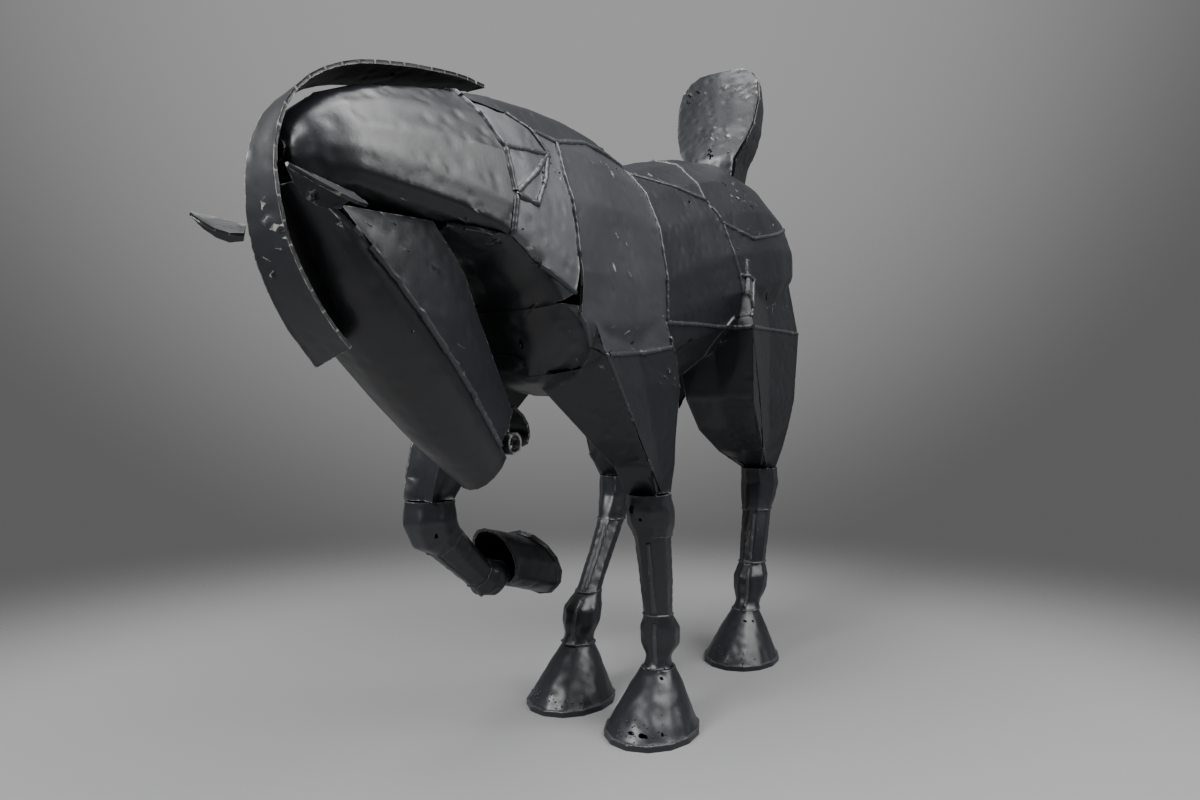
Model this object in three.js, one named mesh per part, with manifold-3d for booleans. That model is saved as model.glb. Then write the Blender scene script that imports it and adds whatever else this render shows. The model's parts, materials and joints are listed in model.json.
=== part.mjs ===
// A welded sheet-steel horse, hollow, made of bent plates that meet at open or beaded seams.
// Millimetres, +Z up. The horse faces -Y, its left side is +X, and the median plane is x = 0.
// Built round a point on the ground under the withers, then moved so that the origin is at the middle of
// the bounding box's base.
import * as THREE from "three";
import { mergeVertices } from "three/addons/utils/BufferGeometryUtils.js";
import Module from "manifold-3d";

const wasm = await Module();
wasm.setup();

// ---- Driving dimensions -------------------------------------------------------------------------

const SHEET = 4; // thickness of every plate
const SEAM = 0.3; // open joint left between two plates
const SOLE = 7.5; // thickness of a sole plate
const HALF_RING = 9; // facets from the spine round to the belly on one side
const FAR = 400; // further out than any surface, for cutters

// Profiles along the trunk, each a list of [y, value] from poll to buttock.
const SPINE = [
  [-585, 714],
  [-562, 744],
  [-517, 775],
  [-440, 803],
  [-375, 821],
  [-311, 836],
  [-216, 851],
  [-140, 855],
  [-60, 850],
  [16, 831],
  [50, 845],
  [104, 864],
  [212, 896],
  [340, 926],
  [430, 922],
  [495, 890],
  [532, 820],
  [545, 775],
];
const UNDERLINE = [
  [-585, 678],
  [-562, 656],
  [-500, 650],
  [-400, 644],
  [-335, 618],
  [-305, 572],
  [-285, 528],
  [-250, 497],
  [-150, 484],
  [50, 488],
  [200, 512],
  [300, 545],
  [400, 590],
  [500, 640],
  [545, 700],
];
const HALF_WIDTH = [
  [-585, 20],
  [-562, 46],
  [-516, 62],
  [-440, 76],
  [-360, 94],
  [-300, 103],
  [-245, 112],
  [-120, 116],
  [0, 108],
  [100, 116],
  [200, 128],
  [300, 146],
  [420, 160],
  [500, 158],
  [535, 123],
  [545, 84],
];
const WIDEST_AT = [
  [-585, 696],
  [-540, 692],
  [-400, 676],
  [-320, 650],
  [-245, 585],
  [0, 620],
  [200, 680],
  [400, 720],
  [545, 740],
];
const TRUNK_STATIONS = [
  -585, -569, -540, -490, -420, -355, -318, -298, -276, -245, -180, -100, -40, 16, 60, 110, 180, 260, 340,
  415, 475, 517, 545,
];

// ---- Shape helpers ------------------------------------------------------------------------------

// A smooth curve through [position, value] pairs, with no overshoot between them.
function profile(pairs) {
  const slopes = pairs.map((_, i) => {
    if (i === 0 || i === pairs.length - 1) return 0;
    const before = (pairs[i][1] - pairs[i - 1][1]) / (pairs[i][0] - pairs[i - 1][0]);
    const after = (pairs[i + 1][1] - pairs[i][1]) / (pairs[i + 1][0] - pairs[i][0]);
    return before * after <= 0 ? 0 : (2 * before * after) / (before + after);
  });
  const last = pairs.length - 1;
  slopes[0] = (pairs[1][1] - pairs[0][1]) / (pairs[1][0] - pairs[0][0]);
  slopes[last] = (pairs[last][1] - pairs[last - 1][1]) / (pairs[last][0] - pairs[last - 1][0]);
  return (at) => {
    const x = Math.min(Math.max(at, pairs[0][0]), pairs[last][0]);
    let i = 0;
    while (i < last - 1 && x > pairs[i + 1][0]) i += 1;
    const span = pairs[i + 1][0] - pairs[i][0];
    const t = (x - pairs[i][0]) / span;
    const a = 2 * t ** 3 - 3 * t ** 2 + 1;
    const b = t ** 3 - 2 * t ** 2 + t;
    const c = 3 * t ** 2 - 2 * t ** 3;
    const d = t ** 3 - t ** 2;
    return a * pairs[i][1] + b * span * slopes[i] + c * pairs[i + 1][1] + d * span * slopes[i + 1];
  };
}

function geometryOf(points, triangles) {
  const geometry = new THREE.BufferGeometry();
  geometry.setAttribute("position", new THREE.Float32BufferAttribute(points.flatMap((p) => p.toArray()), 3));
  geometry.setIndex(triangles.flat());
  return geometry;
}

function quad(a, b, c, d) {
  return [
    [a, b, c],
    [a, c, d],
  ];
}

// Faces between successive closed rings of equal length.
function wallFaces(rings, start, flip) {
  const n = rings[0].length;
  const faces = [];
  for (let i = 0; i < rings.length - 1; i += 1) {
    for (let j = 0; j < n; j += 1) {
      const k = (j + 1) % n;
      const a = start + i * n;
      const b = a + n;
      faces.push(...(flip ? quad(a + j, b + j, b + k, a + k) : quad(a + j, a + k, b + k, b + j)));
    }
  }
  return faces;
}

function middleOf(ring) {
  return ring.reduce((sum, p) => sum.add(p), new THREE.Vector3()).divideScalar(ring.length);
}

// Outward vertex normals of a stack of rings, lengthened at a crease so that an offset keeps its thickness.
function ringNormals(rings) {
  const n = rings[0].length;
  return rings.map((ring, i) =>
    ring.map((p, j) => {
      const around = [ring[(j + n - 1) % n], ring[(j + 1) % n]];
      const up = rings[Math.min(i + 1, rings.length - 1)][j];
      const down = rings[Math.max(i - 1, 0)][j];
      const along = up.clone().sub(down);
      const sides = around.map((q, side) => {
        const edge = side ? q.clone().sub(p) : p.clone().sub(q);
        return edge.cross(along).normalize();
      });
      const normal = sides[0].clone().add(sides[1]).normalize();
      return normal.divideScalar(Math.max(normal.dot(sides[0]), 0.6));
    }),
  );
}

// The rings moved inwards by a depth, the end rings within their own planes.
function pushIn(rings, depth) {
  const normals = ringNormals(rings);
  return rings.map((ring, i) => {
    const isEnd = i === 0 || i === rings.length - 1;
    const third = Math.floor(ring.length / 3);
    const axis = ring[third].clone().sub(ring[0]).cross(ring[2 * third].clone().sub(ring[0])).normalize();
    return ring.map((p, j) => {
      const normal = normals[i][j];
      if (!isEnd) return p.clone().addScaledVector(normal, -depth);
      const flat = normal.clone().addScaledVector(axis, -normal.dot(axis));
      const share = Math.max(flat.length() / normal.length(), 0.5);
      return p.clone().addScaledVector(flat, -depth / share ** 2);
    });
  });
}

// A closed solid through the rings, with a fan over each end.
function loft(rings) {
  const n = rings[0].length;
  const points = rings.flat();
  const faces = wallFaces(rings, 0, false);
  const first = points.length;
  points.push(middleOf(rings[0]), middleOf(rings[rings.length - 1]));
  const top = (rings.length - 1) * n;
  for (let j = 0; j < n; j += 1) {
    const k = (j + 1) % n;
    faces.push([first, k, j], [first + 1, top + j, top + k]);
  }
  return geometryOf(points, faces);
}

// A sheet tube through the rings, open at both ends.
function sheetTube(rings, thickness = SHEET) {
  const n = rings[0].length;
  const inner = pushIn(rings, thickness);
  const start = rings.length * n;
  const faces = [...wallFaces(rings, 0, false), ...wallFaces(inner, start, true)];
  const top = (rings.length - 1) * n;
  for (let j = 0; j < n; j += 1) {
    const k = (j + 1) % n;
    faces.push(...quad(j, start + j, start + k, k));
    faces.push(...quad(top + j, top + k, start + top + k, start + top + j));
  }
  return geometryOf([...rings.flat(), ...inner.flat()], faces);
}

// A sheet over a grid of points: the grid is its outer face and the rest lies behind it.
function sheetPatch(grid, thickness = SHEET) {
  const rows = grid.length;
  const columns = grid[0].length;
  const at = (i, j) => grid[Math.min(Math.max(i, 0), rows - 1)][Math.min(Math.max(j, 0), columns - 1)];
  const back = grid.map((row, i) =>
    row.map((p, j) => {
      const u = at(i + 1, j).clone().sub(at(i - 1, j));
      const v = at(i, j + 1).clone().sub(at(i, j - 1));
      return p.clone().addScaledVector(u.cross(v).normalize(), -thickness);
    }),
  );
  const start = rows * columns;
  const id = (i, j) => i * columns + j;
  const faces = [];
  for (let i = 0; i < rows - 1; i += 1) {
    for (let j = 0; j < columns - 1; j += 1) {
      const [a, b, c, d] = [id(i, j), id(i + 1, j), id(i + 1, j + 1), id(i, j + 1)];
      faces.push(...quad(a, b, c, d));
      faces.push(...quad(start + a, start + d, start + c, start + b));
    }
  }
  const edge = [];
  for (let i = 0; i < rows - 1; i += 1) edge.push(id(i, 0));
  for (let j = 0; j < columns - 1; j += 1) edge.push(id(rows - 1, j));
  for (let i = rows - 1; i > 0; i -= 1) edge.push(id(i, columns - 1));
  for (let j = columns - 1; j > 0; j -= 1) edge.push(id(0, j));
  edge.forEach((a, k) => {
    const b = edge[(k + 1) % edge.length];
    faces.push(...quad(a, start + a, start + b, b));
  });
  return geometryOf([...grid.flat(), ...back.flat()], faces);
}

function toSolid(geometry) {
  const bare = geometry.clone();
  bare.deleteAttribute("normal");
  bare.deleteAttribute("uv");
  const merged = mergeVertices(bare, 1e-3);
  const vertProperties = new Float32Array(merged.attributes.position.array);
  const triVerts = new Uint32Array(merged.index.array);
  return new wasm.Manifold(new wasm.Mesh({ numProp: 3, vertProperties, triVerts }));
}

function toGeometry(solid) {
  const mesh = solid.getMesh();
  const geometry = new THREE.BufferGeometry();
  geometry.setAttribute("position", new THREE.BufferAttribute(mesh.vertProperties, 3));
  geometry.setIndex(new THREE.BufferAttribute(mesh.triVerts, 1));
  return geometry;
}

// Moves each side of a closed [a, b] outline inwards by a small distance.
function shrink(outline, distance) {
  const points = outline.map(([a, b]) => new THREE.Vector2(a, b));
  const turn = Math.sign(THREE.ShapeUtils.area(points));
  return points.map((p, i) => {
    const before = points[(i + points.length - 1) % points.length];
    const after = points[(i + 1) % points.length];
    const e = p.clone().sub(before).normalize();
    const f = after.clone().sub(p).normalize();
    const ne = new THREE.Vector2(-e.y, e.x);
    const nf = new THREE.Vector2(-f.y, f.x);
    const miter = ne.clone().add(nf).normalize();
    const scale = distance / Math.max(miter.dot(ne), 0.3);
    return p.clone().addScaledVector(miter, turn * scale);
  });
}

// A prism across the horse, from x0 to x1, over an outline of [y, z] points.
function slab(outline, x0, x1, gap = SEAM / 2) {
  const shape = new THREE.Shape(shrink(outline, gap));
  const geometry = new THREE.ExtrudeGeometry(shape, { depth: x1 - x0 - 2 * gap, bevelEnabled: false });
  // Shape x, y and extrusion become world y, z and x.
  geometry.applyMatrix4(new THREE.Matrix4().makeBasis(
    new THREE.Vector3(0, 1, 0),
    new THREE.Vector3(0, 0, 1),
    new THREE.Vector3(1, 0, 0),
  ));
  geometry.translate(x0 + gap, 0, 0);
  return toSolid(geometry);
}

// ---- Hollow shell of trunk and upper legs -------------------------------------------------------

// One trunk section: half an oval above the widest line and half an oval below it, on each side.
function trunkRing(y) {
  const [top, bottom, half, wide] = [spine(y), underline(y), halfWidth(y), widestAt(y)];
  const side = [];
  for (let j = 0; j <= HALF_RING; j += 1) {
    const angle = (j / HALF_RING) * Math.PI;
    const reach = angle < Math.PI / 2 ? top - wide : wide - bottom;
    side.push([half * Math.sin(angle), wide + reach * Math.cos(angle)]);
  }
  const left = side.map(([x, z]) => new THREE.Vector3(x, y, z));
  const right = side.slice(1, -1).reverse().map(([x, z]) => new THREE.Vector3(-x, y, z));
  return [...left, ...right];
}

const spine = profile(SPINE);
const underline = profile(UNDERLINE);
const halfWidth = profile(HALF_WIDTH);
const widestAt = profile(WIDEST_AT);

// Upper legs are four-sided, with a crease at each corner, and turn round where they meet the knee or hock.
// A station gives the height, the inner and outer faces, then the y of the inner front corner, of the outer
// front corner (the ridge) and of the rear, and last how round it is, as the bulge of each face.
const FACE_BULGE = 0.05;
const ROUND = 0.2;
const REAR_SLANT = 4; // how much further forward a leg's rear face is on its inner side
const FORE_STATIONS = [
  [600, 20, 108, -262, -225, -10],
  [545, 22, 116, -246, -203, 15],
  [500, 28, 117, -216, -163, 26],
  [425, 48, 108, -119, -90, 31],
  [385, 55, 108, -62, -52, 27, 0.1],
  [345, 58, 106, -32, -31, 18, ROUND],
];
const RAISED_STATIONS = [
  [600, 20, 108, -262, -225, -10],
  [545, 24, 117, -256, -212, -50],
  [500, 34, 127, -260, -224, -122],
  [420, 74, 141, -274, -258, -176],
  [380, 88, 144, -272, -265, -204, 0.1],
  [350, 94, 144, -272, -271, -224, ROUND],
];
const HIND_STATIONS = [
  [720, 20, 140, 250, 262, 500],
  [605, 20, 154, 214, 246, 528],
  [480, 42, 149, 225, 266, 516],
  [427, 48, 138, 268, 330, 514],
  [385, 55, 126, 348, 392, 516, 0.1],
  [348, 63, 113, 455, 457, 514, ROUND],
];
const STEPPING_STATIONS = [
  [720, 20, 140, 250, 262, 500],
  [605, 20, 153, 186, 206, 510],
  [480, 42, 136, 146, 166, 412],
  [427, 46, 124, 150, 160, 350],
  [385, 49, 117, 164, 168, 288, 0.1],
  [348, 58, 106, 184, 185, 242, ROUND],
];

function cornerRing([z, inner, outer, front, ridge, rear, bulge = FACE_BULGE], side) {
  const corners = [
    [outer, rear],
    [outer, ridge],
    [inner, front],
    [inner, rear - REAR_SLANT],
  ].map(([x, y]) => new THREE.Vector3(x, y, z));
  const ring = corners.flatMap((corner, i) => {
    const next = corners[(i + 1) % corners.length];
    const edge = next.clone().sub(corner);
    const out = new THREE.Vector3(-edge.y, edge.x, 0).multiplyScalar(-bulge);
    return [corner, corner.clone().lerp(next, 0.5).add(out)];
  });
  if (side > 0) return ring;
  return ring.map((p) => new THREE.Vector3(-p.x, p.y, p.z)).reverse();
}

// The outer and inner forms of a hollow. The trunk is open at the poll and closed at the buttock; a leg's
// inner form runs from its first ring, inside the trunk, and out past its last.
function hollow(rings, closedEnd) {
  const inner = pushIn(rings, SHEET);
  const last = inner.length - 1;
  if (closedEnd) {
    inner[0] = inner[0].map((p, j) => p.clone().lerp(inner[1][j], -0.5));
    inner.pop();
  } else {
    inner[last] = inner[last].map((p, j) => p.clone().lerp(inner[last - 1][j], -0.3));
  }
  return { outer: toSolid(loft(rings)), inner: toSolid(loft(inner)) };
}

const upperLegs = [
  FORE_STATIONS.map((station) => cornerRing(station, 1)),
  RAISED_STATIONS.map((station) => cornerRing(station, -1)),
  HIND_STATIONS.map((station) => cornerRing(station, 1)),
  STEPPING_STATIONS.map((station) => cornerRing(station, -1)),
];
const forms = [
  hollow(TRUNK_STATIONS.map(trunkRing), true),
  ...upperLegs.map((rings) => hollow(rings, false)),
];
const outside = forms.map((form) => form.outer).reduce((a, b) => a.add(b));
const inside = forms.map((form) => form.inner).reduce((a, b) => a.add(b));
const whole = outside.subtract(inside);

// ---- Seams, as [y, z] in side view --------------------------------------------------------------

const ABOVE = 1000;
const AHEAD = -700;
const BEHIND = 620;
const NECK_SEAM = [
  [-380, ABOVE],
  [-376, 804],
  [-356, 752],
  [-352, 700],
  [-358, 655],
];
const NECK_EDGE = [
  [-436, 660],
  [-556, 657],
  [AHEAD, 655],
];
const THROAT = [-422, 659.1];
const COLLAR = [
  [-358, 655],
  [-318, 631],
  [-252, 602],
];
const WITHERS_EDGE = [
  [-376, 804],
  [-320, 802],
  [-290, 792],
  [-240, 790],
  [-150, 816],
  [12, 820],
];
const PATCH_CORNER = [-268, 766];
const SHOULDER_FRONT = [
  [-240, 790],
  [-245, 745],
  [-243, 681],
  [-246, 644],
  [-252, 602],
];
const SHOULDER_FOOT = [
  [-252, 602],
  [-248, 577],
  [-215, 550],
  [-196, 535],
  [-71, 545],
  [4, 556],
];
const CHEST_SEAM = [
  [AHEAD, 575],
  [-340, 575],
  [-300, 583],
  [-262, 597],
  [-252, 602],
];
const BREAST_SEAM = [
  [AHEAD, 540],
  [-300, 540],
  [-282, 533],
  [-254, 508],
  [-196, 520],
  [-196, 535],
];
const SHOULDER_REAR = [
  [4, 556],
  [2, 700],
  [12, 820],
];
const RIB_TOP = [
  [12, 820],
  [98, 816],
  [182, 809],
  [206, 774],
];
const HIP_FRONT = [
  [206, 774],
  [222, 721],
  [240, 692],
];
const HIP_TOP = [
  [206, 774],
  [300, 762],
  [400, 786],
  [484, 812],
  [BEHIND, 835],
];
const FLANK = [
  [240, 692],
  [292, 690],
  [262, 636],
];
const RIB_FOOT = [
  [262, 636],
  [225, 602],
  [110, 598],
  [3.5, 592],
];
const THIGH_TOP = [
  [225, 602],
  [400, 610],
  [BEHIND, 612],
];
const LEFT_THIGH_FRONT = [
  [225, 602],
  [206, 566],
  [206, 300],
];
const RIGHT_THIGH_FRONT = [
  [225, 602],
  [180, 566],
  [140, 500],
  [130, 300],
];
const LEFT_FOREARM_REAR = [
  [4, 556],
  [40, 535],
  [40, 300],
];
const RIGHT_FOREARM_REAR = [
  [4, 556],
  [8, 520],
  [8, 300],
];

const BOTH = [-FAR, FAR];
const LEFT = [0, FAR];
const RIGHT = [-FAR, 0];

// Each plate of the trunk: its outline in side view and the side or sides of the horse that it covers.
const trunkPlates = {
  left_neck_plate: [[[AHEAD, ABOVE], ...NECK_SEAM, ...NECK_EDGE], LEFT],
  right_neck_plate: [
    [
      [AHEAD, ABOVE],
      ...NECK_SEAM.slice(0, 2),
      ...WITHERS_EDGE.slice(1, 4),
      ...SHOULDER_FRONT.slice(1),
      ...COLLAR.slice(0, 2).reverse(),
      ...NECK_EDGE,
    ],
    RIGHT,
  ],
  throat_and_upper_chest_plate: [
    [THROAT, ...COLLAR, ...CHEST_SEAM.slice(1, -1).reverse(), [THROAT[0], 575]],
    BOTH,
  ],
  middle_chest_plate: [
    [...CHEST_SEAM, ...SHOULDER_FOOT.slice(1, 4), ...BREAST_SEAM.slice(0, -1).reverse()],
    BOTH,
  ],
  left_collar_top_patch: [[...WITHERS_EDGE.slice(0, 3), PATCH_CORNER, [-356, 752]], LEFT],
  left_collar_triangle_patch: [[[-356, 752], PATCH_CORNER, [-352, 700]], LEFT],
  left_collar_sliver_patch: [[[-352, 700], PATCH_CORNER, [-316, 696]], LEFT],
  left_collar_lower_patch: [
    [
      [-290, 792],
      ...SHOULDER_FRONT,
      ...COLLAR.slice(0, 2).reverse(),
      [-352, 700],
      [-316, 696],
      PATCH_CORNER,
    ],
    LEFT,
  ],
  withers_plate: [[[-380, ABOVE], ...WITHERS_EDGE, [12, ABOVE]], BOTH],
  left_shoulder_plate: [
    [...WITHERS_EDGE.slice(3), ...SHOULDER_REAR.slice(0, 2).reverse(), ...SHOULDER_FOOT.slice(0, 5).reverse(),
      ...SHOULDER_FRONT.slice(1, 4).reverse()],
    LEFT,
  ],
  right_shoulder_plate: [
    [...WITHERS_EDGE.slice(3), ...SHOULDER_REAR.slice(0, 2).reverse(), ...SHOULDER_FOOT.slice(0, 5).reverse(),
      ...SHOULDER_FRONT.slice(1, 4).reverse()],
    RIGHT,
  ],
  back_plate: [[[12, ABOVE], ...RIB_TOP.slice(0, 3), [182, ABOVE]], BOTH],
  left_rib_plate: [
    [...RIB_TOP, ...HIP_FRONT.slice(1), ...RIB_FOOT, [2, 700]],
    LEFT,
  ],
  right_rib_plate: [
    [...RIB_TOP, ...HIP_FRONT.slice(1), ...RIB_FOOT, [2, 700]],
    RIGHT,
  ],
  croup_plate: [[[182, ABOVE], [182, 809], ...HIP_TOP, [BEHIND, ABOVE]], BOTH],
  left_flank_patch: [FLANK, LEFT],
  left_hip_plate: [
    [...HIP_TOP, ...THIGH_TOP.slice().reverse(), [262, 636], [292, 690], ...HIP_FRONT.slice(1).reverse()],
    LEFT,
  ],
  right_hip_plate: [
    [...HIP_TOP, ...THIGH_TOP.slice().reverse(), [262, 636], ...HIP_FRONT.slice(1).reverse()],
    RIGHT,
  ],
};

// Joints that have sprung open, as [y, z] outlines cut through the left side.
const TORN_JOINTS = [
  [[-247, 652], [-243, 640], [-242, 615], [-246, 576], [-252, 590], [-286, 590], [-256, 604], [-251, 622]],
  [[-262, 511], [-216, 519], [-216, 515], [-262, 506]],
];
const TORN_FROM_X = 60;

const forearmTop = [...BREAST_SEAM, ...SHOULDER_FOOT.slice(4)];
const forearm = (rear) => [...forearmTop, ...rear.slice(1), [AHEAD, 300]];
const thigh = (front) => [...THIGH_TOP, [BEHIND, 300], ...front.slice(1).reverse()];

// Each upper leg is two plates that meet along the outer front ridge and again inside, at the back.
const legPlates = [
  {
    names: ["left_forearm_outer_plate", "left_forearm_front_plate"],
    outline: forearm(LEFT_FOREARM_REAR),
    side: LEFT,
    ridge: [[116.5, -203, 545], [108, -52, 385]],
    inside: [40, 26, 460],
  },
  {
    names: ["right_forearm_outer_plate", "right_forearm_front_plate"],
    outline: forearm(RIGHT_FOREARM_REAR),
    side: RIGHT,
    ridge: [[-117, -212, 545], [-144, -265, 380]],
    inside: [-56, -105, 460],
  },
  {
    names: ["left_thigh_outer_plate", "left_thigh_front_plate"],
    outline: thigh(LEFT_THIGH_FRONT),
    side: LEFT,
    ridge: [[154, 246, 605], [126, 392, 385]],
    inside: [45, 510, 470],
  },
  {
    names: ["right_thigh_outer_plate", "right_thigh_front_plate"],
    outline: thigh(RIGHT_THIGH_FRONT),
    side: RIGHT,
    ridge: [[-153, 206, 605], [-117, 168, 385]],
    inside: [-44, 390, 460],
  },
];

// The half of space on one side of the plane through three points, held back by half a seam.
function halfSpace(a, b, c, sign) {
  const [p, q, r] = [a, b, c].map((point) => new THREE.Vector3(...point));
  const normal = q.clone().sub(p).cross(r.clone().sub(p)).normalize().multiplyScalar(sign);
  const size = 4 * FAR;
  const box = new THREE.BoxGeometry(size, size, size);
  const turn = new THREE.Quaternion().setFromUnitVectors(new THREE.Vector3(0, 0, 1), normal);
  box.applyQuaternion(turn);
  const shift = p.addScaledVector(normal, size / 2 + SEAM / 2);
  box.translate(shift.x, shift.y, shift.z);
  return toSolid(box);
}

const shell = TORN_JOINTS.reduce(
  (sheet, outline) => sheet.subtract(slab(outline, TORN_FROM_X, FAR, 0)),
  whole,
);

const pieces = new Map();
for (const [name, [outline, [x0, x1]]] of Object.entries(trunkPlates)) {
  pieces.set(name, shell.intersect(slab(outline, x0, x1)));
}
const bellyOutline = (front, rear) => [
  ...RIB_FOOT.slice(1).reverse(),
  ...rear.slice(1),
  ...front.slice().reverse(),
];
const leftBelly = slab(bellyOutline(LEFT_FOREARM_REAR, LEFT_THIGH_FRONT), -SEAM, FAR);
const rightBelly = slab(bellyOutline(RIGHT_FOREARM_REAR, RIGHT_THIGH_FRONT), -FAR, 0);
pieces.set("belly_plate", shell.intersect(leftBelly.add(rightBelly)));
for (const { names, outline, side, ridge, inside: back } of legPlates) {
  const leg = shell.intersect(slab(outline, side[0], side[1]));
  const outward = side === LEFT ? 1 : -1;
  pieces.set(names[0], leg.intersect(halfSpace(ridge[0], ridge[1], back, outward)));
  pieces.set(names[1], leg.intersect(halfSpace(ridge[0], ridge[1], back, -outward)));
}

// ---- Lower legs ---------------------------------------------------------------------------------

const LIMB_SIDES = 8;
const HOOF_SIDES = 14;

// A ring across a limb. The pitch turns the limb's run from straight down towards the rear, in degrees.
function limbRing([x, y, z, across, deep, pitch = 0], sides) {
  const tilt = THREE.MathUtils.degToRad(pitch);
  const ring = [];
  for (let k = 0; k < sides; k += 1) {
    const angle = ((k + 0.5) / sides) * 2 * Math.PI;
    const reach = -deep * Math.sin(angle);
    ring.push(new THREE.Vector3(
      x + across * Math.cos(angle),
      y + reach * Math.cos(tilt),
      z + reach * Math.sin(tilt),
    ));
  }
  return ring;
}

// Draws the first and last rings together so that a piece stops half a seam short of its neighbours.
function trimmed(rings) {
  const out = rings.slice();
  const last = rings.length - 1;
  const pull = (ring, toward) => {
    const length = middleOf(ring).distanceTo(middleOf(toward));
    return ring.map((p, j) => p.clone().lerp(toward[j], SEAM / 2 / length));
  };
  out[0] = pull(rings[0], rings[1]);
  out[last] = pull(rings[last], rings[last - 1]);
  return out;
}

// Stations of each lower leg, top to bottom: x, y, z, half across, half fore-and-aft, pitch.
const STANDING_FORE = {
  knee: [[82, -6, 344.5, 32, 36], [82, -3, 322, 37, 39], [82, 1, 300, 36, 36], [82, 6, 284, 29, 30]],
  cannon: [[82, 6, 284, 28, 29], [82, 18, 220, 25, 27], [82, 25, 164, 22, 24]],
  fetlock: [
    [82, 25, 164, 22, 24], [82, 33, 142, 31, 33], [82, 33, 120, 30, 31], [82, 27, 101, 20, 21],
    [82, 24, 88, 22, 24],
  ],
};
const RAISED_FORE = {
  knee: [
    [-120, -246, 349.5, 34, 36], [-120, -247, 327, 37, 39, 12], [-120, -238, 308, 36, 36, 38],
    [-120, -222, 296, 30, 29, 50],
  ],
  cannon: [[-120, -222, 296, 29, 28, 50], [-120, -182, 264, 25, 25, 50], [-120, -144, 235, 22, 23, 56]],
  fetlock: [
    [-120, -144, 235, 22, 23, 56], [-120, -131, 227, 28, 29, 68], [-120, -113, 223, 27, 28, 86],
    [-120, -100, 224, 20, 21, 100], [-120, -90, 227, 19, 20, 106],
  ],
};
const STANDING_HIND = {
  hock: [[88, 484, 347.5, 35, 42], [88, 487, 318, 37, 42], [88, 479, 292, 34, 37], [88, 469, 268, 29, 32]],
  cannon: [[88, 469, 268, 28, 31], [88, 455, 222, 27, 30], [88, 441, 170, 25, 28]],
  fetlock: [
    [88, 441, 170, 25, 28], [88, 433, 146, 33, 36], [88, 428, 122, 32, 35], [88, 416, 102, 24, 27],
    [88, 406, 88, 26, 29],
  ],
};
const STEPPING_HIND = {
  hock: [
    [-82, 212, 347.5, 34, 42], [-82, 208, 318, 33, 38], [-82, 194, 294, 28, 32], [-82, 184, 274, 24, 28],
  ],
  cannon: [[-82, 184, 274, 24, 27], [-82, 146, 220, 21, 24], [-82, 104, 164, 21, 24]],
  fetlock: [
    [-82, 104, 164, 22, 25], [-82, 86, 142, 32, 35], [-82, 80, 120, 32, 34], [-82, 74, 102, 25, 28],
    [-82, 70, 88, 27, 30],
  ],
};
const lowerLegs = {
  left_fore: STANDING_FORE,
  right_fore: RAISED_FORE,
  left_hind: STANDING_HIND,
  right_hind: STEPPING_HIND,
};

// A hoof is a bell over a sole plate. It hangs from its coronet, at the x, y and z of its top.
const HOOF_TALL = 88;
const HOOF_BELL = [
  // share of the height from the top, half across, half fore-and-aft, forward shift
  [0, 24, 26, 0],
  [0.14, 30, 34, 2],
  [0.42, 41, 49, 9],
  [0.75, 53, 65, 17],
  [1, 62, 76, 21],
];
const SOLE_LIP = 1.5; // how far the sole plate stands out past the bell
const hooves = {
  left_fore: { top: [83, 24, 88], size: 1.06 },
  left_hind: { top: [88, 400, 88], size: 1.06 },
  right_hind: { top: [-82, 70, 88], size: 1.06 },
};

// The raised hoof is a cup bent round the end of the pastern and open above it, from its top to its rim.
const RAISED_HOOF = [
  [-120, -105, 250, 38, 52, 117],
  [-120, -80, 243, 44, 55, 118],
  [-120, -46, 233, 49, 58, 120],
  [-120, -16, 224, 52, 60, 121],
];

function hoofRing({ top, size }, drop, across, deep, forward) {
  return limbRing([top[0], top[1] - forward, top[2] - drop, across * size, deep * size], HOOF_SIDES);
}

const plainPieces = new Map();
for (const [leg, parts] of Object.entries(lowerLegs)) {
  for (const [part, stations] of Object.entries(parts)) {
    const rings = stations.map((station) => limbRing(station, LIMB_SIDES));
    plainPieces.set(`${leg}_${part}`, sheetTube(trimmed(rings)));
  }
}
for (const [leg, hoof] of Object.entries(hooves)) {
  const tall = HOOF_TALL - SOLE - SEAM;
  const bell = HOOF_BELL.map(([share, across, deep, forward]) =>
    hoofRing(hoof, SEAM + share * (tall - SEAM), across, deep, forward),
  );
  const [, across, deep, forward] = HOOF_BELL[HOOF_BELL.length - 1];
  const plate = [tall + SEAM, HOOF_TALL].map((drop) =>
    hoofRing(hoof, drop, across + SOLE_LIP, deep + SOLE_LIP, forward),
  );
  plainPieces.set(`${leg}_hoof`, sheetTube(bell));
  plainPieces.set(`${leg}_sole_plate`, loft(plate));
}
const [rimX, rimY, rimZ, rimAcross, rimDeep, rimPitch] = RAISED_HOOF[RAISED_HOOF.length - 1];
const raisedSole = [SEAM, SEAM + SOLE].map((step) => {
  const tilt = THREE.MathUtils.degToRad(rimPitch);
  const [y, z] = [rimY + step * Math.sin(tilt), rimZ - step * Math.cos(tilt)];
  return limbRing([rimX, y, z, rimAcross + SOLE_LIP, rimDeep + SOLE_LIP, rimPitch], HOOF_SIDES);
});
plainPieces.set("right_fore_hoof", sheetTube(RAISED_HOOF.map((station) => limbRing(station, HOOF_SIDES))));
plainPieces.set("right_fore_sole_plate", loft(raisedSole));

// ---- Head ---------------------------------------------------------------------------------------

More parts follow.
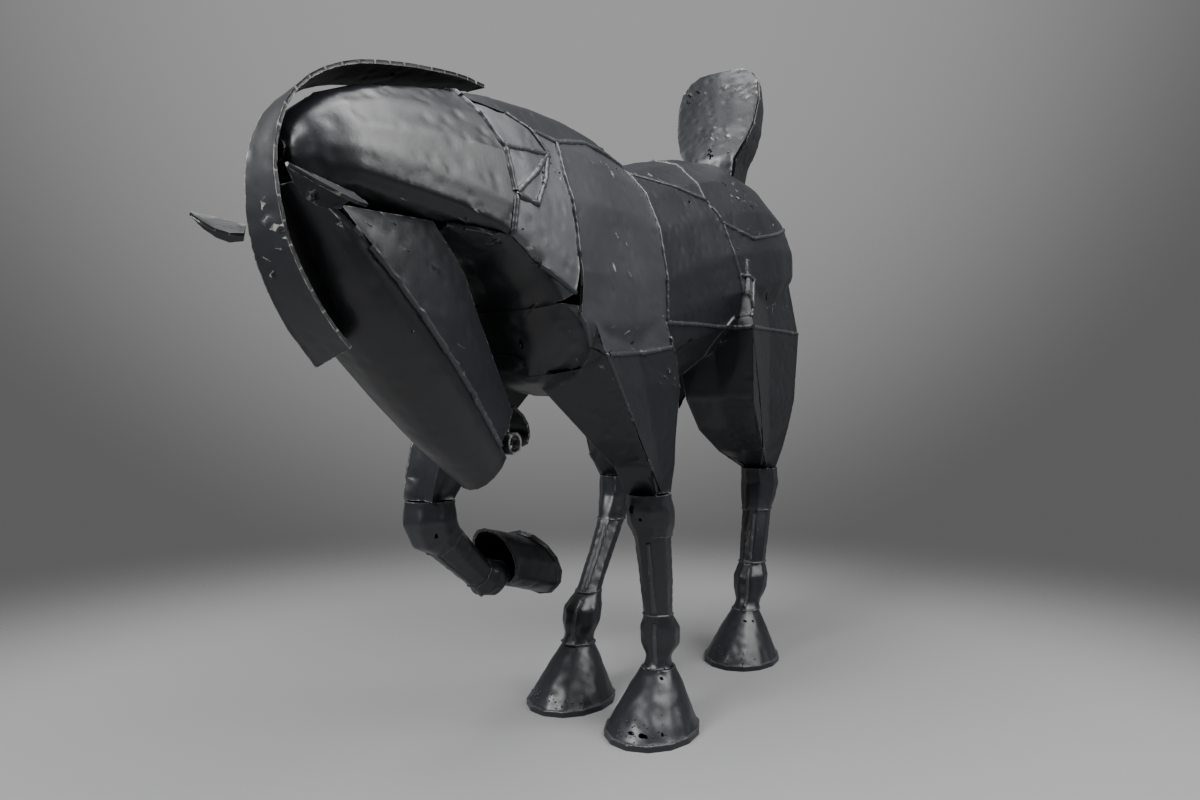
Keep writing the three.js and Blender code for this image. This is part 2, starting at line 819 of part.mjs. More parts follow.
// The head's own frame: s runs down the face from the brow, d runs back towards the jaw, and x is to the
// horse's left.
const HEAD_AT = new THREE.Vector3(0, -553, 639);
const HEAD_SLOPE = THREE.MathUtils.degToRad(40.8);
const DOWN_FACE = new THREE.Vector3(0, Math.cos(HEAD_SLOPE), -Math.sin(HEAD_SLOPE));
const TO_JAW = new THREE.Vector3(0, Math.sin(HEAD_SLOPE), Math.cos(HEAD_SLOPE));
const FACE_TOP = -43;
const FACE_END = 346;
const FACE_HALF = profile([[-43, 38], [-20, 50], [50, 60], [130, 61], [200, 57], [270, 48], [346, 36]]);
const FACE_FRONT = profile([[-43, 5], [-17, 12], [20, 30], [48, 41], [110, 53], [250, 54], [346, 44]]);
const JAW_DEPTH = profile([[-40, 86], [66, 89], [125, 89], [193, 71], [277, 56], [319, 50], [346, 42]]);
const JAW_NARROWING = 0.14; // how much closer the cheeks are at the jaw
const CHEEK_GAP = profile([[-10, 4.5], [20, 2.4], [60, 1], [320, 1]]); // open joint beside the face plate
const CHEEK_TOP = [-10, 74]; // s of the cheek's upper edge, at the face seam and at the jaw
const CHEEK_END = [322, 322];
const NOSE_DROP = 7; // how much further the face plate reaches in the middle than at its edges

function headPoint(x, s, d) {
  return HEAD_AT.clone().addScaledVector(DOWN_FACE, s).addScaledVector(TO_JAW, d).setX(x);
}

function grid(rows, columns, at) {
  return Array.from({ length: rows + 1 }, (_, i) =>
    Array.from({ length: columns + 1 }, (_, j) => at(i / rows, j / columns)),
  );
}

const lerp = THREE.MathUtils.lerp;

const facePlate = grid(9, 10, (u, v) => {
  const angle = (v - 0.5) * Math.PI;
  const s = lerp(FACE_TOP, FACE_END + NOSE_DROP * Math.cos(angle), u);
  return headPoint(FACE_HALF(s) * Math.sin(angle), s, -FACE_FRONT(s) * Math.cos(angle));
});

function cheek(side) {
  return grid(7, 3, (u, v) => {
    const across = side > 0 ? v : 1 - v;
    const s = lerp(lerp(CHEEK_TOP[0], CHEEK_TOP[1], across), lerp(CHEEK_END[0], CHEEK_END[1], across), u);
    const x = FACE_HALF(s) * (1 - JAW_NARROWING * across ** 2);
    return headPoint(side * x, s, lerp(CHEEK_GAP(s), JAW_DEPTH(s), across));
  });
}

// The jaw plate runs up under the cheeks and turns up at the end to close the muzzle.
const JAW_PATH = [
  [84, 86], [125, 86], [193, 68], [277, 53], [322, 45], [333, 38], [337, 29], [338, 8], [338, -18],
];
const jawPlate = JAW_PATH.map(([s, d]) => {
  const arc = Math.sqrt(Math.max(1 - (Math.min(d, 0) / FACE_FRONT(s)) ** 2, 0));
  const narrow = 1 - JAW_NARROWING * (Math.max(d, 0) / JAW_DEPTH(s)) ** 2;
  const half = FACE_HALF(s) * arc * narrow - SHEET - 1.2;
  return [1, 0, -1].map((v) => headPoint(v * half, s, d));
});

plainPieces.set("face_plate", sheetPatch(facePlate));
plainPieces.set("left_cheek_plate", sheetPatch(cheek(1)));
plainPieces.set("right_cheek_plate", sheetPatch(cheek(-1)));
plainPieces.set("jaw_plate", sheetPatch(jawPlate));

// The lower lip is a short tongue of sheet rolled over behind the nostrils.
const LIP_PATH = [[318, 56], [340, 60], [356, 58], [367, 50], [370, 39], [363, 29]];
const LIP_HALF = 36;
plainPieces.set("lower_lip_plate", sheetPatch(
  LIP_PATH.map(([s, d]) => [1, 0, -1].map((v) => headPoint(v * LIP_HALF, s, d + 3 * (1 - v * v)))),
));

// Each nostril is a slice of three-quarter-inch pipe, set crosswise in the corner of the muzzle.
const PIPE = { outer: 13.35, bore: 10.45, sides: 18 };
const NOSTRIL = { s: 338, d: 14.8, from: 33.8, to: 45 };
for (const [name, side] of [["left_nostril_pipe", 1], ["right_nostril_pipe", -1]]) {
  const length = NOSTRIL.to - NOSTRIL.from;
  const wall = [[PIPE.bore, 0], [PIPE.outer, 0], [PIPE.outer, length], [PIPE.bore, length], [PIPE.bore, 0]];
  const pipe = new THREE.LatheGeometry(wall.map(([r, h]) => new THREE.Vector2(r, h)), PIPE.sides);
  const seat = headPoint(side * NOSTRIL.from, NOSTRIL.s, NOSTRIL.d);
  pipe.rotateZ(-side * Math.PI / 2).translate(seat.x, seat.y, seat.z);
  plainPieces.set(name, toGeometry(toSolid(pipe)));
}

// Ears are folded leaves: a line from root to tip with the two halves falling away from it.
const EAR_WIDE = profile([[0, 15], [0.3, 20], [0.7, 13], [1, 2]]);
const EAR_FOLD = 0.75;
const ears = {
  left_ear: { root: [66, -556, 658], tip: [84, -640, 660] },
  right_ear: { root: [-60, -566, 642], tip: [-88, -603, 650] },
};

for (const [name, { root, tip }] of Object.entries(ears)) {
  const from = new THREE.Vector3(...root);
  const to = new THREE.Vector3(...tip);
  const along = to.clone().sub(from).normalize();
  const across = new THREE.Vector3(0, 0, 1).cross(along).normalize();
  const up = along.clone().cross(across);
  const leaf = grid(4, 4, (u, v) => {
    const offset = (2 * v - 1) * EAR_WIDE(u);
    return from.clone().lerp(to, u).addScaledVector(across, offset)
      .addScaledVector(up, -Math.abs(offset) * EAR_FOLD);
  });
  plainPieces.set(name, sheetPatch(leaf, 3.5));
}

// ---- Mane strip and tail ------------------------------------------------------------------------

const MANE_PATH = [
  [-302, 848], [-350, 840], [-410, 828], [-470, 812], [-520, 794], [-557, 771], [-582, 743], [-595, 712],
  [-600, 680], [-597, 645], [-587, 608], [-569, 575], [-549, 548], [-527, 526],
];
const MANE_HALF = profile([
  [0, 12], [0.12, 22], [0.35, 22], [0.53, 16], [0.64, 18], [0.75, 22], [0.88, 27], [1, 31],
]);
const MANE_SKEW = 22; // how much further the far edge runs on at the lower end
// How far the strip's far edge is set in from its near edge.
const MANE_DIP = profile([[0, 0], [0.15, 7], [0.35, 12], [0.5, 9], [0.62, 2], [0.8, 0], [1, 0]]);

function stripRings(path, halfWidthAt, dipAt, thickness) {
  const curve = new THREE.CatmullRomCurve3(path.map(([y, z]) => new THREE.Vector3(0, y, z)));
  const count = 26;
  return Array.from({ length: count + 1 }, (_, i) => {
    const t = i / count;
    const at = curve.getPointAt(t);
    const along = curve.getTangentAt(t);
    const out = along.clone().cross(new THREE.Vector3(1, 0, 0)).normalize();
    const half = halfWidthAt(t);
    const dip = dipAt(t);
    const run = MANE_SKEW * t ** 4;
    return [[half, 0], [-half, -dip], [-half, -dip - thickness], [half, -thickness]].map(([x, depth]) =>
      at.clone().setX(x).addScaledVector(out, depth).addScaledVector(along, x < 0 ? run : 0),
    );
  });
}

plainPieces.set("mane_strip", loft(stripRings(MANE_PATH, MANE_HALF, MANE_DIP, SHEET)));

// Each tail station: height, half width in front, front y, half width behind, rear y.
const TAIL_X = 4;
const TAIL_STATIONS = [
  [860, 34, 440, 30, 520],
  [950, 50, 433, 42, 540],
  [985, 68, 444, 56, 549],
  [1022, 79, 459, 66, 556],
  [1075, 84, 476, 70, 560],
  [1112, 79, 488, 67, 555],
  [1134, 64, 496, 55, 547],
  [1147, 46, 503, 38, 538],
];
const TAIL_BOW = 7;

const tailFront = TAIL_STATIONS.map(([z, half, front]) =>
  [-1, -0.5, 0, 0.5, 1].map((v) => new THREE.Vector3(TAIL_X + v * half, front - TAIL_BOW * (1 - v * v), z)),
);
// The rear plate is bent round the left side, the back and the right side.
const tailWrap = TAIL_STATIONS.map(([z, half, front, behind, rear]) => {
  const start = front + SHEET + 1.2;
  const side = [
    [half, start],
    [lerp(half, behind, 0.5), lerp(start, rear, 0.45)],
    [behind, rear - 12],
    [behind - 9, rear],
  ];
  const back = side.slice().reverse().map(([x, y]) => [-x, y]);
  return [...side, [0, rear + 2], ...back].map(([x, y]) => new THREE.Vector3(TAIL_X + x, y, z));
});

for (const [name, solid] of pieces) {
  plainPieces.set(name, toGeometry(solid));
}
const trunkGrown = toSolid(loft(pushIn(TRUNK_STATIONS.map(trunkRing), -SEAM)));
for (const [name, sheet] of [["tail_front_plate", tailFront], ["tail_back_plate", tailWrap]]) {
  plainPieces.set(name, toGeometry(toSolid(sheetPatch(sheet)).subtract(trunkGrown)));
}

// ---- Assembly -----------------------------------------------------------------------------------

const horse = new THREE.Group();
for (const [name, geometry] of plainPieces) {
  const material = new THREE.MeshStandardMaterial({ color: 0x151719, roughness: 0.5, metalness: 0.3 });
  const mesh = new THREE.Mesh(geometry, material);
  mesh.name = name;
  horse.add(mesh);
}

const box = new THREE.Box3().setFromObject(horse);
horse.position.set(-(box.min.x + box.max.x) / 2, -(box.min.y + box.max.y) / 2, -box.min.z);

export default horse;
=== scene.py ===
# %% [markdown]
# # A scrap metal horse, dressed for its portrait
#
# The real horse is a hollow figure of heavy sheet steel. A smith hammered each plate to shape over a stump,
# cut its edges with a torch, ran beads of weld along the seams and brushed satin black paint over everything.
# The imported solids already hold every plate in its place, so this lesson gives the plates what a smith's
# hands leave behind: hammered skin, rough torch-cut rims, beads of weld, blow holes and a worn coat of paint.
#
# They stay where they are.

import json
import math
import random

import bmesh
import bpy
import numpy as np
from mathutils import Matrix, Vector, noise
from mathutils.bvhtree import BVHTree

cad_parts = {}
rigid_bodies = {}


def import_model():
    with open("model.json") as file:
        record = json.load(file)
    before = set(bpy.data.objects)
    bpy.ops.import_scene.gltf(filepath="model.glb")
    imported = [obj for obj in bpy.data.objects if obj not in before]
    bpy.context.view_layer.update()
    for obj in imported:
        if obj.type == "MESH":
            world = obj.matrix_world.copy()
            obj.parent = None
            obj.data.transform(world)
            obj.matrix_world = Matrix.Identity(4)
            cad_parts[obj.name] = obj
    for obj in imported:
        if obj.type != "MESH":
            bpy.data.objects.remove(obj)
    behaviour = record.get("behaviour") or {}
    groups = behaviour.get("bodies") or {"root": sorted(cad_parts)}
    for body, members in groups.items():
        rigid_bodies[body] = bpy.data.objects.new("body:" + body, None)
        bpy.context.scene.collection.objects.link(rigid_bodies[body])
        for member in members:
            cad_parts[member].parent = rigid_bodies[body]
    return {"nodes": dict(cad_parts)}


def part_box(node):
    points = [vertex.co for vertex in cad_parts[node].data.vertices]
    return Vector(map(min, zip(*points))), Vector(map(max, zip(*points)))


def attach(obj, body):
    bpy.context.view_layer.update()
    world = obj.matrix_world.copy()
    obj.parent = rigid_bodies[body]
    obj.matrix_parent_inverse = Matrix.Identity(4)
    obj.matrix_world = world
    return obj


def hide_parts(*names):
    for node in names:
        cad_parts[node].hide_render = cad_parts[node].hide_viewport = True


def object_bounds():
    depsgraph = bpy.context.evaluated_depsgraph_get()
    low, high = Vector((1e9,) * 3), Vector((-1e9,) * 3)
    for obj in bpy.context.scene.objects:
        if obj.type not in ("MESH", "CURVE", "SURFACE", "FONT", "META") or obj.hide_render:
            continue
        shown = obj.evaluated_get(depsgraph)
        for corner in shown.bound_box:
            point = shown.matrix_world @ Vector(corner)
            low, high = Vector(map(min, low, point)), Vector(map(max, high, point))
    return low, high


for leftover in list(bpy.data.objects):
    bpy.data.objects.remove(leftover)
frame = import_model()
solid_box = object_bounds()
plates = frame["nodes"]
MM = 0.001
print(len(plates), "plates in a box", solid_box)

# %% [markdown]
# ## Which faces look out
#
# The horse is hollow, and hammer marks, paint and weld belong on the outside. A line drawn away from an outer
# face passes through an even number of sheets on its way out, and one from an inner face through an odd
# number. One search tree over all the plates answers that, with three slightly tilted lines for each question.

# %% One tree over the whole horse
TILTS = [Vector((0.13, 0.07, 0.11)), Vector((-0.11, 0.12, -0.05)), Vector((0.03, -0.14, 0.09))]
LIFT = 0.4 * MM
SKIP = 0.02 * MM


def all_corners():
    corners, faces = [], []
    for plate in plates.values():
        start = len(corners)
        corners += [v.co.copy() for v in plate.data.vertices]
        faces += [[start + i for i in p.vertices] for p in plate.data.polygons]
    return corners, faces


whole_horse = BVHTree.FromPolygons(*all_corners())


def sheets_crossed(start, direction):
    hits = 0
    spot = start
    while spot is not None:
        spot = whole_horse.ray_cast(spot + direction * SKIP, direction)[0]
        hits += spot is not None
    return (hits + 1) // 2


def looks_outward(point, normal):
    votes = [sheets_crossed(point + normal * LIFT, (normal + tilt).normalized()) % 2 for tilt in TILTS]
    return sum(votes) <= 1


print("one tree over", len(plates), "plates")

# %% [markdown]
# ## Plates with an even skin
#
# A solid from a CAD program has as few faces as its shape needs: long thin triangles that can't hold a dent.
# One could use a Remesh modifier, but it would round off the sheared rims. It is better to merge the loose
# triangles, let nearly flat ones join, and then split every edge that is longer than a hammer mark. Rims get
# shorter edges than the open skin, because a torch leaves finer marks than a hammer, and the hidden inner
# faces keep long ones.

# %% A plate's copy with short, even edges
SKIN_STEP = 6.2 * MM
INNER_STEP = 16 * MM
RIM_STEP = 3.6 * MM
SHARP = math.radians(50)
MERGE = 0.02 * MM
FLAT = math.radians(0.7)
ROUNDS = 7


def is_sharp(edge):
    return len(edge.link_faces) == 2 and edge.calc_face_angle(0.0) > SHARP


def longest_allowed(edge, outside):
    if is_sharp(edge):
        return RIM_STEP
    return SKIN_STEP if any(f[outside] for f in edge.link_faces) else INNER_STEP


def even_copy(name):
    bm = bmesh.new()
    bm.from_mesh(plates[name].data)
    bmesh.ops.remove_doubles(bm, verts=bm.verts, dist=MERGE)
    bmesh.ops.dissolve_limit(bm, angle_limit=FLAT, verts=bm.verts, edges=bm.edges)
    bmesh.ops.triangulate(bm, faces=bm.faces)
    outside = bm.faces.layers.int.new("outside")
    for f in bm.faces:
        f[outside] = looks_outward(f.calc_center_median(), f.normal)
    for _ in range(ROUNDS):
        long = [e for e in bm.edges if e.calc_length() > longest_allowed(e, outside)]
        bmesh.ops.subdivide_edges(bm, edges=long, cuts=1)
        bmesh.ops.triangulate(bm, faces=[f for f in bm.faces if len(f.verts) > 3])
    for e in bm.edges:
        e.seam = is_sharp(e)
    return bm


skins = {name: even_copy(name) for name in sorted(plates)}
print("faces after splitting:", sum(len(bm.faces) for bm in skins.values()))
print("largest:", max((len(bm.faces), name) for name, bm in skins.items()))

# %% [markdown]
# ## Relaxing the flat facets into bent sheet
#
# Each facet of the solid is flat, but hammered sheet is curved. Moving every point a little towards the
# middle of its neighbours, and then a little back again, removes the creases and keeps the dome of the plate.
# The rims stay exactly where they are, so that neighbouring plates still meet.

# %% Smooth each plate between its rims
SMOOTH_ROUNDS = {"skin": 60, "tube": 14}
PULL, PUSH = 0.55, -0.565
TUBES = ("knee", "hock", "cannon", "fetlock", "nostril", "sole")


def relax(bm, rounds):
    bm.verts.index_update()
    place = np.array([v.co for v in bm.verts])
    a, b = np.array([[v.index for v in e.verts] for e in bm.edges]).T
    rim = np.zeros(len(place), bool)
    for e in bm.edges:
        if e.seam:
            rim[[v.index for v in e.verts]] = True
    here, there = np.r_[a, b], np.r_[b, a]
    count = np.bincount(here, minlength=len(place))[:, None]
    free = (~rim)[:, None]
    for turn in range(2 * rounds):
        sums = [np.bincount(here, place[there, k], len(place)) for k in range(3)]
        place = place + free * (PULL, PUSH)[turn % 2] * (np.stack(sums, 1) / count - place)
    for v, co in zip(bm.verts, place):
        v.co = co
    bm.normal_update()


for name, bm in skins.items():
    relax(bm, SMOOTH_ROUNDS["tube" if any(word in name for word in TUBES) else "skin"])
print("smoothed", len(skins), "plates")

# %% [markdown]
# ## Which rims carry a weld
#
# A seam is a rim that has another plate right beside it. A rim with nothing beside it is a bare torch-cut
# edge. A search tree for each plate tells the two apart.

# %% Search trees
SEAM_REACH = 1.8 * MM
trees = {name: BVHTree.FromBMesh(bm) for name, bm in skins.items()}
boxes = {name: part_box(name) for name in skins}


def might_touch(point, name):
    low, high = boxes[name]
    return all(low[k] - SEAM_REACH <= point[k] <= high[k] + SEAM_REACH for k in range(3))


def neighbour_of(point, name):
    for other, tree in trees.items():
        if other != name and might_touch(point, other):
            spot = tree.find_nearest(point, SEAM_REACH)[0]
            if spot is not None:
                return other, spot
    return None, None


# %% Sort the rims into seams and bare edges
seams, rim_state = {}, {}
for name, bm in skins.items():
    rim_state[name] = {}
    for e in [e for e in bm.edges if e.seam]:
        middle = (e.verts[0].co + e.verts[1].co) / 2
        other, spot = neighbour_of(middle, name)
        for v in e.verts:
            rim_state[name][v.index] = max(rim_state[name].get(v.index, 0), 1 if other is None else 0.4)
        if other is not None and name < other:
            skin = min(e.link_faces, key=lambda f: f.normal.dot(spot - middle))
            if looks_outward(middle, skin.normal):
                ends = [v.co.copy() for v in e.verts]
                seams.setdefault((name, other), []).append((ends, skin.normal.copy()))
print(len(seams), "pairs of plates meet;", sum(len(s) for s in seams.values()), "seam edges")

# %% [markdown]
# ## Beads of weld
#
# A bead is a rope of molten steel laid over the joint, a little uneven because the hand moves in steps. Each
# seam is a handful of short edges, so they are first strung together into lines. A curve with a round bevel
# and a radius that varies from point to point then makes the rope, which is turned into a mesh and roughened.
# The seams differ: on the neck, the cheeks and the patches the beads stand proud, and elsewhere they were
# ground down almost flush.

# %% String the edges of a seam into lines
JOIN = 0.9 * MM


def key(point):
    return tuple(round(c / JOIN) for c in point)


def lines_of(edges):
    places, links, normals = {}, {}, {}
    for ends, normal in edges:
        keys = [key(p) for p in ends]
        if keys[0] == keys[1]:
            continue
        for k, other, p in zip(keys, reversed(keys), ends):
            places.setdefault(k, p)
            links.setdefault(k, []).append(other)
            normals[k] = normals.get(k, Vector()) + normal
    unused = {frozenset((k, o)) for k, others in links.items() for o in others}
    lines = []
    for start in sorted(links, key=lambda k: (len(links[k]) != 1, k)):
        while True:
            line = [start]
            while True:
                ahead = [o for o in links[line[-1]] if frozenset((line[-1], o)) in unused]
                if not ahead:
                    break
                unused.discard(frozenset((line[-1], ahead[0])))
                line.append(ahead[0])
            if len(line) < 2:
                break
            lines.append([(places[k], normals[k].normalized()) for k in line])
    return lines


seam_lines = {pair: lines_of(edges) for pair, edges in sorted(seams.items())}
print("lines:", sum(len(lines) for lines in seam_lines.values()))

# %% Lay the beads
PROUD = {"radius": 4.0 * MM, "sink": 0.25, "wander": 0.35}
GROUND = {"radius": 2.7 * MM, "sink": 0.4, "wander": 0.35}
PROUD_WORDS = ("patch", "cheek", "neck", "rib", "shoulder", "hip")
OPEN_WORDS = ("chest",)
SHORTEST_LINE = 4
BEAD_RIPPLE = 5 * MM


def bead_style(pair):
    if any("nostril" in name for name in pair) or pair == ("face_plate", "mane_strip"):
        return None
    if all(any(w in name for w in OPEN_WORDS + ("front_plate",)) for name in pair):
        return None
    return PROUD if any(w in pair[0] + pair[1] for w in PROUD_WORDS) else GROUND


def lay_bead(curve, line, style):
    spline = curve.splines.new("POLY")
    spline.points.add(len(line) - 1)
    for point, (place, normal) in zip(spline.points, line):
        sway = noise.noise(place / (4 * BEAD_RIPPLE))
        step = noise.noise(place / BEAD_RIPPLE)
        size = 1 + style["wander"] * (0.6 * step + 0.4 * sway)
        point.co = (*(place - normal * style["radius"] * style["sink"]), 1)
        point.radius = max(size, 0.25)


def bead_mesh(name, pairs, style):
    curve = bpy.data.curves.new(name, "CURVE")
    curve.dimensions = "3D"
    curve.bevel_depth = style["radius"]
    curve.bevel_resolution = 1
    curve.use_fill_caps = True
    for pair in pairs:
        for line in seam_lines[pair]:
            if len(line) >= SHORTEST_LINE:
                lay_bead(curve, line, style)
    rope = bpy.data.objects.new(name + "_curve", curve)
    mesh = bpy.data.meshes.new_from_object(rope)
    bpy.data.objects.remove(rope)
    return mesh


def front_ridge(name):
    low, high = boxes[name]
    corners = np.array([v.co for v in skins[name].verts])
    line = []
    for z in np.arange(low[2] + RIDGE_END, high[2] - RIDGE_END, RIDGE_STEP):
        ring = corners[abs(corners[:, 2] - z) < RIDGE_END]
        if len(ring):
            middle = ring.mean(0)
            start = Vector((middle[0] + RIDGE_ASIDE, low[1] - RIDGE_START, z))
            spot, normal = trees[name].ray_cast(start, Vector((0, 1, 0)))[:2]
            if spot is not None:
                line.append((spot, normal))
    return line


RIDGE_END, RIDGE_STEP = 6 * MM, 4 * MM
RIDGE_ASIDE, RIDGE_START = 4 * MM, 50 * MM
RIDGED = [name for name in skins if "cannon" in name or "fetlock" in name]
seam_lines[("hip", "front ridges")] = [front_ridge(name) for name in RIDGED]
beads = {}
for label, style in (("proud_weld_beads", PROUD), ("ground_weld_beads", GROUND)):
    pairs = [pair for pair in seam_lines if bead_style(pair) is style]
    beads[label] = bead_mesh(label, pairs, style)
    print(label, len(pairs), "seams,", len(beads[label].polygons), "faces")

# %% [markdown]
# ## Hammered skin and torch-cut rims
#
# The hammer leaves shallow overlapping dishes, and a sheet bent by hand is never quite fair. Both are dents,
# so every point moves inwards only, and the horse keeps its size. Smooth noise gives the long waves, and the
# distance to the nearest of many scattered points gives the dishes. A torch drags ripples along a rim.

# %% Dent the plates and nibble their rims
WAVE, WAVE_DEEP = 48 * MM, 1.5 * MM
DISH, DISH_DEEP = 19 * MM, 2.6 * MM
NIBBLE, NIBBLE_DEEP = 22 * MM, 0.5 * MM
LUMP, LUMP_DEEP = 14 * MM, 1.8 * MM
SKIN_LIMIT = 1.7 * MM
LUMPY_WORDS = ("knee", "hock", "fetlock", "hoof")


def dent_depth(point):
    wave = 0.5 + 0.5 * noise.noise(point / WAVE)
    near = noise.voronoi(point / DISH)[0][0]
    return min(WAVE_DEEP * wave ** 1.5 + DISH_DEEP * max(0.5 - near, 0) ** 1.3, SKIN_LIMIT)


def lump_depth(point):
    return LUMP_DEEP * (0.5 + 0.5 * noise.noise(point / LUMP)) ** 1.5


def dent(name, bm):
    depth_at = lump_depth if any(word in name for word in LUMPY_WORDS) else dent_depth
    states = rim_state[name]
    outside = bm.faces.layers.int["outside"]
    places = {}
    for v in bm.verts:
        if v.index in states:
            depth = NIBBLE_DEEP * states[v.index] * (0.5 + 0.5 * noise.noise(v.co / NIBBLE))
        elif v.link_faces[0][outside]:
            depth = depth_at(v.co)
        else:
            continue
        places[v] = v.co - v.normal * depth
    for v, place in places.items():
        v.co = place


for name, bm in skins.items():
    if "sole" not in name and "nostril" not in name:
        dent(name, bm)
print("dented", len(skins), "plates")

# %% [markdown]
# ## The horse's pieces
#
# Each dressed plate becomes an object of its own that stands in for its solid. It carries one attribute,
# `wear`, which is 1 on a bare rim, less on a welded one and 0 on open skin, so that a material knows where
# hands and weather have rubbed the paint away.

# %% Make the plates and beads into objects
dressed = {}


def add_empty_piece(name):
    piece = bpy.data.objects.new(name, bpy.data.meshes.new(name + "_empty"))
    bpy.context.scene.collection.objects.link(piece)
    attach(piece, "root")
    dressed[name] = piece


def keep_in_box(mesh):
    low, high = solid_box
    for v in mesh.vertices:
        v.co = [min(max(v.co[k], low[k]), high[k]) for k in range(3)]


def fill_piece(name, mesh):
    keep_in_box(mesh)
    mesh.polygons.foreach_set("use_smooth", [True] * len(mesh.polygons))
    dressed[name].data = mesh


for name in skins:
    add_empty_piece(name + "_skin")
    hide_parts(name)
for label in (*beads, "weld_spatter"):
    add_empty_piece(label)


def plate_piece(name, bm):
    mesh = bpy.data.meshes.new(name + "_skin")
    wear = [rim_state[name].get(v.index, 0.0) for v in bm.verts]
    for e in bm.edges:
        e.smooth = not e.seam
    bm.to_mesh(mesh)
    bm.free()
    mesh.attributes.new("wear", "FLOAT", "POINT").data.foreach_set("value", wear)
    fill_piece(name + "_skin", mesh)


for name, bm in skins.items():
    plate_piece(name, bm)



for label, mesh in beads.items():
    for v in mesh.vertices:
        v.co = v.co - v.normal * 0.6 * MM * (0.5 + 0.5 * noise.noise(v.co / (1.8 * MM)))
    mesh.attributes.new("wear", "FLOAT", "POINT").data.foreach_set("value", [0.6] * len(mesh.vertices))
    fill_piece(label, mesh)
print(len(dressed), "pieces,", sum(len(o.data.polygons) for o in dressed.values()), "faces")

# %% [markdown]
# ## Blow holes and gaps
#
# Where the arc burned through the sheet it left small ragged holes, and some joints were never closed. Each
# one is cut with a rough ball that is stretched along the sheet's normal, so that it goes right through. The
# ball's own surface becomes the wall of the hole and counts as a worn rim.

# %% Cut the holes
THROUGH = 2.6
HOLES = [
    ("left_rib_plate", (97, 166, 795), 3.4, (1, 1, 1)),
    ("middle_chest_plate", (58, -247, 544), 2.4, (1, 1, 3.2)),
    ("left_fore_knee", (75, -2, 325), 4.6, (1, 1, 1.3)),
    ("left_fore_knee", (89, 2, 310), 2.6, (1, 1, 1)),
    ("right_fore_knee", (-88, -225, 305), 2.2, (1, 1, 2.4)),
    ("left_fore_hoof", (90, -30, 21), 3.0, (1.6, 1, 1)),
    ("left_fore_hoof", (108, -27, 19), 3.6, (1.8, 1, 1)),
    ("left_fore_hoof", (130, -11, 19), 2.2, (1, 1, 1.2)),
    ("left_fore_hoof", (108, 34, 80), 3.0, (1.2, 1, 1)),
    ("left_hind_hoof", (108, 400, 74), 2.4, (1.8, 1, 1)),
    ("left_hind_hoof", (120, 409, 73), 2.4, (1.4, 1, 1)),
]


def rough_ball(spot, normal, radius, stretch):
    bm = bmesh.new()
    bmesh.ops.create_icosphere(bm, subdivisions=3, radius=radius * MM)
    turn = Vector((0, 0, 1)).rotation_difference(normal)
    for v in bm.verts:
        grow = 1 + 0.45 * noise.noise(v.co / (radius * MM) + spot * 97)
        through = turn @ Vector((v.co.x, v.co.y, v.co.z * THROUGH))
        v.co = spot + Vector(c * s for c, s in zip(through, stretch)) * grow
    mesh = bpy.data.meshes.new("rough ball")
    bm.to_mesh(mesh)
    bm.free()
    mesh.attributes.new("wear", "FLOAT", "POINT").data.foreach_set("value", [0.8] * len(mesh.vertices))
    return bpy.data.objects.new("rough ball", mesh)


def cut_with(piece, ball):
    cut = piece.modifiers.new("blow hole", "BOOLEAN")
    cut.operation, cut.solver, cut.object = "DIFFERENCE", "EXACT", ball
    seen = piece.evaluated_get(bpy.context.evaluated_depsgraph_get())
    mesh = bpy.data.meshes.new_from_object(seen)
    piece.modifiers.clear()
    return mesh


# Only the faces around the hole may go, so a result that has lost more of the plate is thrown away.
KEPT_SHARE = 0.97
for name, place, radius, stretch in HOLES:
    piece = dressed[name + "_skin"]
    spot, normal = trees[name].find_nearest(Vector(place) * MM)[:2]
    ball = rough_ball(spot, normal, radius, stretch)
    bpy.context.scene.collection.objects.link(ball)
    whole = piece.data
    mesh = cut_with(piece, ball)
    if len(mesh.polygons) > KEPT_SHARE * len(whole.polygons):
        piece.data = mesh
    bpy.data.objects.remove(ball)
    print("hole in", name, "made" if piece.data is not whole else "left out", len(piece.data.polygons))

# %% [markdown]
# ## Drops of spatter
#
# Welding throws small drops of steel that stick to the sheet beside a seam, and the toes of the hooves,
# built up with weld, carry the most.

# %% Scatter the drops
DROP_SMALL, DROP_LARGE = 0.7 * MM, 1.7 * MM
DROP_STRAY = 14 * MM
DROP_EVERY = 16
TOE_DROPS, TOE_HIGH = 60, 30 * MM
luck = random.Random(11)


def drop(bm, tree, about):
    stray = Vector([luck.gauss(0, 1) for _ in range(3)]) * DROP_STRAY
    spot = tree.find_nearest(about + stray)[0]
    size = luck.uniform(DROP_SMALL, DROP_LARGE)
    bmesh.ops.create_icosphere(bm, subdivisions=1, radius=size, matrix=Matrix.Translation(spot))


bm = bmesh.new()
for pair, lines in seam_lines.items():
    if pair[0] in trees and bead_style(pair) is PROUD:
        for line in lines:
            for place, normal in line[::DROP_EVERY]:
                drop(bm, trees[pair[0]], place)
for hoof in [name for name in trees if "hoof" in name and not name.startswith("right_fore")]:
    low, high = boxes[hoof]
    for _ in range(TOE_DROPS):
        toe = Vector((luck.uniform(low[0], high[0]), low[1], low[2] + luck.uniform(DROP_LARGE, TOE_HIGH)))
        drop(bm, trees[hoof], toe)
spatter = bpy.data.meshes.new("weld_spatter")
bm.to_mesh(spatter)
bm.free()
spatter.attributes.new("wear", "FLOAT", "POINT").data.foreach_set("value", [0.5] * len(spatter.vertices))
fill_piece("weld_spatter", spatter)
print("drops of spatter:", len(spatter.vertices) // 12)

